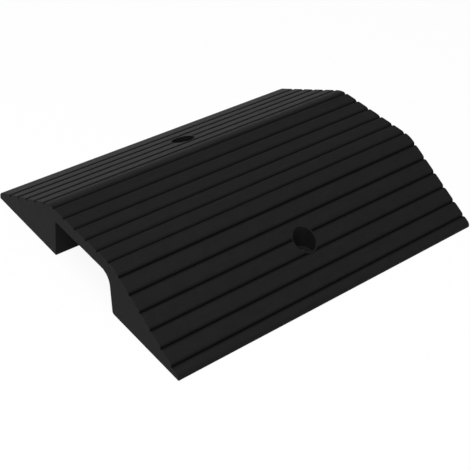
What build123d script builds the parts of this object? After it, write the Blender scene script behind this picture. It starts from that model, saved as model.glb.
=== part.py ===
from build123d import *
from math import acos, degrees, floor, radians, sqrt, tan
import os

# Rubber bridge threshold ramp, in millimetres.
# X runs along the ramp, Y from the front toe to the rear toe, Z up from the floor.
# The origin is on the floor, under the middle of the ramp.

os.makedirs("parts", exist_ok=True)

# Overall size
ramp_length = 500.0
ramp_height = 75.0
front_run = 132.5
deck_run = 139.0
rear_run = 128.5
depth = front_run + deck_run + rear_run

# Toes and crests: each toe is a low upright lip under a round nose
front_lip = 0.9
rear_lip = 4.2
nose_radius = 8.0
crest_radius = 45.0

# Tread: rounded ribs along the ramp, parted by grooves with round shoulders.
# The grooves follow the surface at an even pitch, and the first is set from the front nose.
rib_pitch = 24.1
first_groove = 9.8
groove_depth = 3.2
shoulder_radius = 5.5
groove_half_width = sqrt(2 * shoulder_radius * groove_depth - groove_depth**2)

# Bridge channel between the two feet: the front wall leans, the rear wall is almost upright
front_foot = 132.5
rear_foot = 140.5
channel_height = 55.5
front_wall_draft = 9.3
rear_wall_draft = 1.0
front_channel_radius = 18.0
rear_channel_radius = 3.0
front_foot_edge_radius = 4.0
rear_foot_edge_radius = 1.0

# Fixing points: an upright recess in each slope, with a ledge that carries a flanged bush.
# A collar level with the rib tops gives each recess an unbroken rim where the grooves meet it.
fixing_inset = 72.0
recess_radius = 16.0
collar_width = 1.5
collar_depth = 2 * groove_depth
ledge_height = 16.0
collar_radius = recess_radius + collar_width

# Flanged steel bush
bush_bore_radius = 6.5
bush_wall = 3.0
flange_thickness = 3.0
bush_clearance = 0.3
bush_floor_gap = 0.5
bush_edge_chamfer = 0.6
bush_radius = bush_bore_radius + bush_wall
flange_radius = recess_radius - bush_clearance

# Corners of the section, as (Y, Z)
front_sole = Vector(-depth / 2, 0)
rear_sole = Vector(depth / 2, 0)
front_lip_top = front_sole + Vector(0, front_lip)
rear_lip_top = rear_sole + Vector(0, rear_lip)
front_crest = Vector(-depth / 2 + front_run, ramp_height)
rear_crest = Vector(depth / 2 - rear_run, ramp_height)
front_foot_edge = front_sole + Vector(front_foot, 0)
rear_foot_edge = rear_sole - Vector(rear_foot, 0)
front_channel_top = front_foot_edge + Vector(channel_height * tan(radians(front_wall_draft)), channel_height)
rear_channel_top = rear_foot_edge + Vector(-channel_height * tan(radians(rear_wall_draft)), channel_height)

# Underside from the rear lip to the front lip, and how round it is at each corner between them
underside = [
    rear_lip_top,
    rear_sole,
    rear_foot_edge,
    rear_channel_top,
    front_channel_top,
    front_foot_edge,
    front_sole,
    front_lip_top,
]
underside_radii = [
    0,
    rear_foot_edge_radius,
    rear_channel_radius,
    front_channel_radius,
    front_foot_edge_radius,
    0,
]

front_fixing_row = -depth / 2 + fixing_inset
rear_fixing_row = depth / 2 - fixing_inset


def nose_end(nose_centre, crest, turn):
    """Point where the straight slope from a crest runs onto the round nose of its toe."""
    reach = crest - nose_centre
    angle = degrees(acos(nose_radius / reach.length))
    return nose_centre + reach.normalized().rotate(Axis.Z, turn * angle) * nose_radius


front_nose_end = nose_end(front_lip_top + Vector(nose_radius, 0), front_crest, 1)
rear_nose_end = nose_end(rear_lip_top - Vector(nose_radius, 0), rear_crest, -1)
tread_corners = [front_nose_end, front_crest, rear_crest, rear_nose_end]

# The moulding: its section with a groove at every pitch of the tread, then the two collared recesses
with BuildPart() as ramp_body:
    with BuildSketch(Plane.YZ):
        with BuildLine():
            TangentArc(front_lip_top, front_nose_end, tangent=(0, 1))
            tread = FilletPolyline(*tread_corners, radius=crest_radius)
            TangentArc(rear_lip_top, rear_nose_end, tangent=(0, 1))
            FilletPolyline(*underside, radius=underside_radii)
        make_face()
        groove_count = floor((tread.length - first_groove - groove_half_width) / rib_pitch) + 1
        for step in range(groove_count):
            place = first_groove + step * rib_pitch
            middle = tread.position_at(place, position_mode=PositionMode.LENGTH)
            along = tread.tangent_at(place, position_mode=PositionMode.LENGTH)
            inward = Vector(along.Y, -along.X)
            valley = middle + inward * groove_depth
            shoulders = [middle - along * groove_half_width, middle + along * groove_half_width]
            above = [shoulder - inward * groove_depth for shoulder in shoulders]
            with BuildLine():
                TangentArc(shoulders[0], valley, tangent=along)
                TangentArc(shoulders[1], valley, tangent=-along)
                Polyline(shoulders[0], *above, shoulders[1])
            make_face(mode=Mode.SUBTRACT)
    extrude(amount=ramp_length / 2, both=True)
    for row, toe, crest in (
        (front_fixing_row, front_nose_end, front_crest),
        (rear_fixing_row, rear_nose_end, rear_crest),
    ):
        grade = (crest.Y - toe.Y) / (crest.X - toe.X)
        rim_height = toe.Y + (row - toe.X) * grade
        with BuildSketch(Plane(origin=(0, row, rim_height), x_dir=(1, 0, 0), z_dir=(0, -grade, 1))):
            Ellipse(collar_radius, collar_radius * sqrt(1 + grade**2))
        extrude(amount=collar_depth, dir=(0, 0, -1))
    with Locations((0, front_fixing_row, ramp_height), (0, rear_fixing_row, ramp_height)):
        CounterBoreHole(
            radius=bush_radius + bush_clearance,
            counter_bore_radius=recess_radius,
            counter_bore_depth=ramp_height - ledge_height,
        )

ramp_body.part.label = "ramp_body"
export_step(ramp_body.part, "parts/ramp_body.step")

# The bushes: a sleeve that reaches almost to the floor, under a flange that lies on the ledge
for name, row in (("front_fixing_bush", front_fixing_row), ("rear_fixing_bush", rear_fixing_row)):
    flange_top = ledge_height + flange_thickness
    with BuildPart() as bush:
        with BuildSketch(Plane.XZ.offset(-row)) as half_section:
            with BuildLine():
                Polyline(
                    (bush_bore_radius, bush_floor_gap),
                    (bush_radius, bush_floor_gap),
                    (bush_radius, ledge_height),
                    (flange_radius, ledge_height),
                    (flange_radius, flange_top),
                    (bush_bore_radius, flange_top),
                    close=True,
                )
            make_face()
            chamfer(half_section.vertices().group_by(Axis.Y)[-1], bush_edge_chamfer)
        revolve(axis=Axis((0, row, 0), (0, 0, 1)))
    bush.part.label = name
    export_step(bush.part, f"parts/{name}.step")
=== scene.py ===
import bmesh
import bpy
from math import cos, hypot, radians, sin
from mathutils import Matrix, Vector


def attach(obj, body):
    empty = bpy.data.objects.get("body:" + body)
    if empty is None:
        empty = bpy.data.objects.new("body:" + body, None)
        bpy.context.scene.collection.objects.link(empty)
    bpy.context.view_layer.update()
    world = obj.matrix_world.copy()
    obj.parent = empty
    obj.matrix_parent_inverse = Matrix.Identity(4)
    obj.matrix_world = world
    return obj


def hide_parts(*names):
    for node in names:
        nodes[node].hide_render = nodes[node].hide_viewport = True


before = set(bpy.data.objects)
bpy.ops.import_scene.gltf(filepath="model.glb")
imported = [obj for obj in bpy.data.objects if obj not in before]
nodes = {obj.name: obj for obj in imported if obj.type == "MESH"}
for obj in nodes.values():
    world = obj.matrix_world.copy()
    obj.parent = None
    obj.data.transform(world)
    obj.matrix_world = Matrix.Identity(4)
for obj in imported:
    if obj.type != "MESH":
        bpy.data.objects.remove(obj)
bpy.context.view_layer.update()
print("frame loaded:", ", ".join(sorted(nodes)))


# the camera, at the photograph's angle
camera = {
    "heading": 43.141,  # degrees from +Y towards +X
    "dip": 39.534,  # degrees below the horizon
    "roll": 6.303,  # degrees about the line of sight
    "focalPixels": 1051.08,
    "place": (-0.767995, -0.818924, 0.886913),
    "sensor": 36.0,  # millimetres
    "imageSide": 470,  # pixels, the picture is square
    "nearClip": 0.05,
    "farClip": 50.0,
}


def addCamera(c):
    heading, dip, roll = (radians(c[k]) for k in ("heading", "dip", "roll"))
    look = Vector((sin(heading) * cos(dip), cos(heading) * cos(dip), -sin(dip)))
    level = look.cross(Vector((0, 0, 1))).normalized()
    upright = level.cross(look)
    right = cos(roll) * level + sin(roll) * upright
    up = -sin(roll) * level + cos(roll) * upright
    data = bpy.data.cameras.new("productCamera")
    data.sensor_width = c["sensor"]
    data.lens = c["sensor"] * c["focalPixels"] / c["imageSide"]
    data.clip_start = c["nearClip"]
    data.clip_end = c["farClip"]
    obj = bpy.data.objects.new("productCamera", data)
    turn = Matrix((right, up, -look)).transposed().to_4x4()
    obj.matrix_world = Matrix.Translation(c["place"]) @ turn
    bpy.context.scene.collection.objects.link(obj)
    bpy.context.scene.camera = obj


addCamera(camera)
print("camera set")


# small helpers that the materials share
def newMaterial(name):
    mat = bpy.data.materials.new(name)
    mat.use_nodes = True
    tree = mat.node_tree
    return mat, tree, tree.nodes["Principled BSDF"]


def addNoise(tree, scale, detail, stretch=None):
    coords = tree.nodes.new("ShaderNodeTexCoord")
    noise = tree.nodes.new("ShaderNodeTexNoise")
    noise.inputs["Scale"].default_value = scale
    noise.inputs["Detail"].default_value = detail
    place = coords.outputs["Object"]
    if stretch:
        mapping = tree.nodes.new("ShaderNodeMapping")
        mapping.inputs["Scale"].default_value = stretch
        tree.links.new(place, mapping.inputs["Vector"])
        place = mapping.outputs["Vector"]
    tree.links.new(place, noise.inputs["Vector"])
    return noise.outputs["Fac"]


def addRange(tree, value, source, target):
    ranged = tree.nodes.new("ShaderNodeMapRange")
    ranged.inputs["From Min"].default_value = source[0]
    ranged.inputs["From Max"].default_value = source[1]
    ranged.inputs["To Min"].default_value = target[0]
    ranged.inputs["To Max"].default_value = target[1]
    tree.links.new(value, ranged.inputs["Value"])
    return ranged.outputs["Result"]


# patches of noise: none below the band, and full cover above it
def addPatches(tree, p):
    noise = addNoise(tree, p["scale"], p["detail"], p.get("stretch"))
    return addRange(tree, noise, p["band"], (0, p["cover"]))


def addBlend(tree, share, first, second):
    blend = tree.nodes.new("ShaderNodeMix")
    blend.data_type = "RGBA"
    tree.links.new(share, blend.inputs["Factor"])
    colours = [socket for socket in blend.inputs if socket.type == "RGBA"]
    for socket, tone in zip(colours, (first, second)):
        if isinstance(tone, tuple):
            socket.default_value = tone
        else:
            tree.links.new(tone, socket)
    return next(socket for socket in blend.outputs if socket.type == "RGBA")


def addProduct(tree, first, second):
    both = tree.nodes.new("ShaderNodeMath")
    both.operation = "MULTIPLY"
    tree.links.new(first, both.inputs[0])
    tree.links.new(second, both.inputs[1])
    return both.outputs[0]


def addAttribute(tree, name):
    found = tree.nodes.new("ShaderNodeAttribute")
    found.attribute_name = name
    return found.outputs["Fac"]


def addGrain(tree, skin, finish):
    bump = tree.nodes.new("ShaderNodeBump")
    bump.inputs["Strength"].default_value = finish["grainStrength"]
    bump.inputs["Distance"].default_value = finish["grainHeight"]
    grain = addNoise(tree, finish["grainScale"], finish["grainDetail"])
    tree.links.new(grain, bump.inputs["Height"])
    tree.links.new(bump.outputs["Normal"], skin.inputs["Normal"])


# black moulded rubber: mottled and matt, faintly streaked along the ribs, with painted shade
# darkening it down in the grooves, and rubbed a little paler along its edges
rubber = {
    "paleTone": (0.0150, 0.0150, 0.0153, 1),
    "darkTone": (0.0136, 0.0136, 0.0139, 1),
    "streakTone": (0.0175, 0.0175, 0.0178, 1),
    "speckTone": (0.0200, 0.0200, 0.0204, 1),
    # painted shade: the colour at the groove roots, where the crevice's own shade would fall
    "paintedRootShade": (0.0032, 0.0032, 0.0033, 1),
    "wornTone": (0.0195, 0.0195, 0.0199, 1),
    "specular": 0.0200,
    "sheen": 0.04,
    "sheenRoughness": 0.3,
    "roughLow": 0.47,
    "roughHigh": 0.51,
    "mottle": {"scale": 70.0, "detail": 4.0, "band": (0.35, 0.65), "cover": 1.0},
    "streaks": {
        "scale": 260.0,
        "detail": 2.0,
        "stretch": (0.06, 1.0, 1.0),  # drawn out along the ribs
        "band": (0.55, 0.80),
        "cover": 0.6,
    },
    "specks": {"scale": 1100.0, "detail": 2.0, "band": (0.60, 0.72), "cover": 0.7},
    "wear": {"scale": 420.0, "detail": 2.0, "band": (0.40, 0.65), "cover": 0.8},
    "grainScale": 1500.0,
    "grainDetail": 3.0,
    "grainHeight": 0.0002,  # metres
    "grainStrength": 0.8,
}


def mouldedRubber(r):
    mat, tree, skin = newMaterial("mouldedRubber")
    mottle = addPatches(tree, r["mottle"])
    tone = addBlend(tree, mottle, r["darkTone"], r["paleTone"])
    tone = addBlend(tree, addPatches(tree, r["streaks"]), tone, r["streakTone"])
    tone = addBlend(tree, addPatches(tree, r["specks"]), tone, r["speckTone"])
    worn = addProduct(tree, addAttribute(tree, "edgeWear"), addPatches(tree, r["wear"]))
    tone = addBlend(tree, worn, tone, r["wornTone"])
    # painted shade: the base colour turns darker towards each groove's root
    tone = addBlend(tree, addAttribute(tree, "paintedGrooveShade"), tone, r["paintedRootShade"])
    rough = addRange(tree, mottle, (0, 1), (r["roughLow"], r["roughHigh"]))
    tree.links.new(tone, skin.inputs["Base Color"])
    tree.links.new(rough, skin.inputs["Roughness"])
    skin.inputs["Specular IOR Level"].default_value = r["specular"]
    skin.inputs["Sheen Weight"].default_value = r["sheen"]
    skin.inputs["Sheen Roughness"].default_value = r["sheenRoughness"]
    addGrain(tree, skin, r)
    return mat


# black coated steel of the bushes: a satin coat, worn a little where tools have touched it
steel = {
    "coatTone": (0.0105, 0.0105, 0.0110, 1),
    "rubbedTone": (0.0200, 0.0200, 0.0210, 1),
    "specular": 0.12,
    "roughLow": 0.38,
    "roughHigh": 0.55,
    "patchScale": 300.0,
    "patchDetail": 3.0,
    "rubbedBand": (0.50, 0.75),  # of the patches, from coated to rubbed
    "polishBand": (0.3, 0.7),  # of the patches, from rough to smooth
    "grainScale": 2600.0,
    "grainDetail": 3.0,
    "grainHeight": 0.00002,  # metres
    "grainStrength": 0.3,
}


def coatedSteel(s):
    mat, tree, skin = newMaterial("coatedSteel")
    patches = addNoise(tree, s["patchScale"], s["patchDetail"])
    rubbed = addRange(tree, patches, s["rubbedBand"], (0, 1))
    tone = addBlend(tree, rubbed, s["coatTone"], s["rubbedTone"])
    rough = addRange(tree, patches, s["polishBand"], (s["roughHigh"], s["roughLow"]))
    tree.links.new(tone, skin.inputs["Base Color"])
    tree.links.new(rough, skin.inputs["Roughness"])
    skin.inputs["Specular IOR Level"].default_value = s["specular"]
    addGrain(tree, skin, s)
    return mat


rubberSkin = mouldedRubber(rubber)
bushCoat = coatedSteel(steel)
print("materials made")


# the moulding: the CAD shape with its ends, toes and hole rims eased, as a rubber mould leaves them
moulding = {
    "mergeGap": 1e-6,  # metres
    "flatAngle": 0.1,  # degrees, facets flatter than this join into one face
    "creaseAngle": 40,  # degrees, an edge this sharp stays a crease
    "sharpAngle": 25,  # degrees, an edge this sharp is eased
    "rootAngle": -60,  # degrees, a fold this deep is the root of a groove
    "rootLength": 0.05,  # metres, and at least this long
    "rootDigits": 4,  # decimals of a metre that tell one root from the next
    "edgeRound": 0.0006,  # metres
    "steps": 3,  # strips across an eased edge
    "halfLength": 0.25,
    "halfDepth": 0.2,
    "rimRadius": 0.016,
    "ledgeHeight": 0.016,
    "fixingRows": (-0.128, 0.128),
    "grooveDepth": 0.0032,
    "grooveReach": 0.0060,  # metres from a groove's root to its shoulders
    "shadePower": 0.8,  # below 1 the painted shade of the root reaches further up
    "rimGap": 0.0009,  # metres, points of a rim nearer than this join
    "slack": 2e-5,
}


def fromAxis(vert, row):
    return hypot(vert.co.x, vert.co.y - row)


def onEnd(vert, m):
    return abs(abs(vert.co.x) - m["halfLength"]) < m["slack"]


def onRim(vert, m):
    return any(abs(fromAxis(vert, row) - m["rimRadius"]) < m["slack"] for row in m["fixingRows"])


def onToe(vert, m):
    return vert.co.z < m["slack"] and abs(abs(vert.co.y) - m["halfDepth"]) < m["slack"]


def openEdges(bm, row, low, high):
    near = {v for v in bm.verts if low < fromAxis(v, row) < high}
    return [e for e in bm.edges if e.is_boundary and near.issuperset(e.verts)]


# the recess wall again as upright panels, one under each step of the rim, so that it shades evenly
def evenRecess(bm, row, m):
    radius, slack = m["rimRadius"], m["slack"]
    inside = [v for v in bm.verts if fromAxis(v, row) < radius + slack]
    wall = {v for v in inside if onRim(v, m)}
    ledge = {v for v in inside if abs(v.co.z - m["ledgeHeight"]) < slack}
    old = [f for f in bm.faces if wall.issuperset(f.verts) or ledge.issuperset(f.verts)]
    bmesh.ops.delete(bm, geom=old, context="FACES")
    rim = openEdges(bm, row, radius - slack, radius + slack)
    rimVerts = list(dict.fromkeys(v for e in rim for v in e.verts))
    bmesh.ops.remove_doubles(bm, verts=rimVerts, dist=m["rimGap"])
    rim = openEdges(bm, row, radius - slack, radius + slack)
    sleeve = openEdges(bm, row, 0, radius - slack)
    grown = bmesh.ops.extrude_edge_only(bm, edges=rim)["geom"]
    foot = {v for v in grown if isinstance(v, bmesh.types.BMVert)}
    for vert in foot:
        vert.co.z = m["ledgeHeight"]
    ring = [e for e in grown if isinstance(e, bmesh.types.BMEdge) and foot.issuperset(e.verts)]
    bmesh.ops.bridge_loops(bm, edges=ring + sleeve)


# the place of each groove's root in the section, and the way that the groove opens
def grooveRoots(folds, m):
    roots = {}
    for edge, fold in folds.items():
        start, end = (v.co for v in edge.verts)
        if fold < radians(m["rootAngle"]) and abs(start.x - end.x) > m["rootLength"]:
            out = sum((f.normal for f in edge.link_faces), Vector())
            root = tuple(round(c, m["rootDigits"]) for c in start.yz)
            roots[root] = out.yz.normalized()
    return roots


def mouldEdge(edge, m):
    return any(all(test(v, m) for v in edge.verts) for test in (onEnd, onRim, onToe))


def easedMoulding(name, node, m):
    bm = bmesh.new()
    bm.from_mesh(node.data)
    bmesh.ops.remove_doubles(bm, verts=bm.verts, dist=m["mergeGap"])
    flat = radians(m["flatAngle"])
    bmesh.ops.dissolve_limit(bm, angle_limit=flat, verts=bm.verts, edges=bm.edges)
    for row in m["fixingRows"]:
        evenRecess(bm, row, m)
    bmesh.ops.recalc_face_normals(bm, faces=bm.faces)
    wear = bm.verts.layers.float.new("edgeWear")
    # painted shade: how deep each point lies in a groove, read by the rubber as a darker colour
    shade = bm.verts.layers.float.new("paintedGrooveShade")
    folds = {e: e.calc_face_angle_signed() for e in bm.edges if e.is_manifold}
    roots = grooveRoots(folds, m)
    sharp = radians(m["sharpAngle"])
    eased = [e for e, fold in folds.items() if fold > sharp and mouldEdge(e, m)]
    made = bmesh.ops.bevel(
        bm,
        geom=eased,
        offset=m["edgeRound"],
        segments=m["steps"],
        profile=0.5,
        affect="EDGES",
        material=-1,
        clamp_overlap=False,
    )
    strip = set(made["faces"])
    for vert in bm.verts:
        if strip.issuperset(vert.link_faces):
            vert[wear] = 1.0
        # painted shade for the grooves: full at the root, fading out towards the shoulders
        for root, out in roots.items():
            step = vert.co.yz - Vector(root)
            if step.length < m["grooveReach"] and not onEnd(vert, m):
                vert[shade] = max(0.0, 1 - step.dot(out) / m["grooveDepth"]) ** m["shadePower"]
    for face in bm.faces:
        face.smooth = True
    mesh = bpy.data.meshes.new(name)
    bm.to_mesh(mesh)
    bm.free()
    mesh.attributes.remove(mesh.attributes["custom_normal"])  # the CAD's own, stale by now
    mesh.set_sharp_from_angle(angle=radians(m["creaseAngle"]))
    obj = bpy.data.objects.new(name, mesh)
    bpy.context.scene.collection.objects.link(obj)
    even = obj.modifiers.new("evenShading", "WEIGHTED_NORMAL")
    even.keep_sharp = True
    print(name, "grooves:", len(roots), "eased edges:", len(eased))
    return obj


ramp = easedMoulding("rampMoulding", nodes["ramp_body"], moulding)
ramp.data.materials.append(rubberSkin)
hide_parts("ramp_body")
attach(ramp, "root")
print("ramp moulding:", len(ramp.data.vertices), "vertices,", len(ramp.data.polygons), "faces")

for name in ("front_fixing_bush", "rear_fixing_bush"):
    nodes[name].data.materials.clear()
    nodes[name].data.materials.append(bushCoat)
print("bushes finished")


# a white sweep: pale floor, a bright horizon behind and one soft lamp overhead
studio = {
    "floorSide": 12.0,  # metres
    "floorTone": (0.45, 0.45, 0.45, 1),  # as it lights the object
    "seenTone": (0.97, 0.97, 0.97, 1),  # as the camera sees it
    "whiteShare": 0.92,  # of the floor as seen, plain white without a shadow
    "wellReach": 0.03,  # metres, how far up the floor looks for walls round it
    "wellOpen": (0.15, 0.40),  # how open the floor is where the white starts, and where it is full
    "horizonLevel": 1.3,
    "skyLevel": 0.25,
    "horizonTop": 0.0,  # height on the sky, as a sine, where the white horizon starts to fade
    "skyFrom": 0.2,  # and where the dimmer sky starts
    "behind": (0.53, 0.85, 0.0),  # the way that the white horizon lies
    "behindFrom": -0.3,  # how far round towards it, as a cosine, the white starts
    "behindFull": 0.5,  # and where it is full
    "keyPower": 90.0,  # watts
    "keySide": 2.4,  # metres
    "keyPlace": (-1.05, -0.68, 2.85),
}


def whiteRays(tree, kinds):
    path = tree.nodes.new("ShaderNodeLightPath")
    found = path.outputs[kinds[0]]
    for kind in kinds[1:]:
        either = tree.nodes.new("ShaderNodeMath")
        either.operation = "MAXIMUM"
        tree.links.new(found, either.inputs[0])
        tree.links.new(path.outputs[kind], either.inputs[1])
        found = either.outputs[0]
    return found


def addFloor(s):
    bpy.ops.mesh.primitive_plane_add(size=s["floorSide"])
    floor = bpy.context.object
    floor.name = "studioFloor"
    mat, tree, _ = newMaterial("whiteSweep")
    tree.nodes.clear()
    out = tree.nodes.new("ShaderNodeOutputMaterial")
    diffuse = tree.nodes.new("ShaderNodeBsdfDiffuse")
    glow = tree.nodes.new("ShaderNodeEmission")
    # the floor down in the bores stays dim
    well = tree.nodes.new("ShaderNodeAmbientOcclusion")
    well.inputs["Distance"].default_value = s["wellReach"]
    white = addRange(tree, well.outputs["AO"], s["wellOpen"], (0, s["whiteShare"]))
    mix = tree.nodes.new("ShaderNodeMixShader")
    rays = whiteRays(tree, ("Is Camera Ray", "Is Glossy Ray", "Is Transmission Ray"))
    tree.links.new(addBlend(tree, rays, s["floorTone"], s["seenTone"]), diffuse.inputs["Color"])
    tree.links.new(addProduct(tree, rays, white), mix.inputs["Fac"])
    tree.links.new(diffuse.outputs[0], mix.inputs[1])
    tree.links.new(glow.outputs[0], mix.inputs[2])
    tree.links.new(mix.outputs[0], out.inputs["Surface"])
    floor.data.materials.append(mat)


def addSky(s):
    world = bpy.data.worlds.new("studioSky")
    bpy.context.scene.world = world
    world.use_nodes = True
    tree = world.node_tree
    sky = tree.nodes["Background"]
    sky.inputs["Color"].default_value = (1, 1, 1, 1)
    coords = tree.nodes.new("ShaderNodeTexCoord")
    split = tree.nodes.new("ShaderNodeSeparateXYZ")
    tree.links.new(coords.outputs["Generated"], split.inputs[0])
    facing = tree.nodes.new("ShaderNodeVectorMath")
    facing.operation = "DOT_PRODUCT"
    facing.inputs[1].default_value = s["behind"]
    tree.links.new(coords.outputs["Generated"], facing.inputs[0])
    low = addRange(tree, split.outputs["Z"], (s["horizonTop"], s["skyFrom"]), (1, 0))
    back = addRange(tree, facing.outputs["Value"], (s["behindFrom"], s["behindFull"]), (0, 1))
    level = addRange(tree, addProduct(tree, low, back), (0, 1), (s["skyLevel"], s["horizonLevel"]))
    tree.links.new(level, sky.inputs["Strength"])
    white = tree.nodes.new("ShaderNodeBackground")
    white.inputs["Color"].default_value = (1, 1, 1, 1)
    mix = tree.nodes.new("ShaderNodeMixShader")
    tree.links.new(whiteRays(tree, ("Is Camera Ray",)), mix.inputs["Fac"])
    tree.links.new(sky.outputs[0], mix.inputs[1])
    tree.links.new(white.outputs[0], mix.inputs[2])
    tree.links.new(mix.outputs[0], tree.nodes["World Output"].inputs["Surface"])


def addKeyLamp(s):
    lamp = bpy.data.lights.new("keyLamp", "AREA")
    lamp.energy = s["keyPower"]
    lamp.size = s["keySide"]
    obj = bpy.data.objects.new("keyLamp", lamp)
    obj.location = s["keyPlace"]
    obj.rotation_euler = (-Vector(s["keyPlace"])).to_track_quat("-Z", "Y").to_euler()
    bpy.context.scene.collection.objects.link(obj)


addFloor(studio)
addSky(studio)
addKeyLamp(studio)
bpy.context.scene.view_settings.view_transform = "Standard"
print("studio lit")
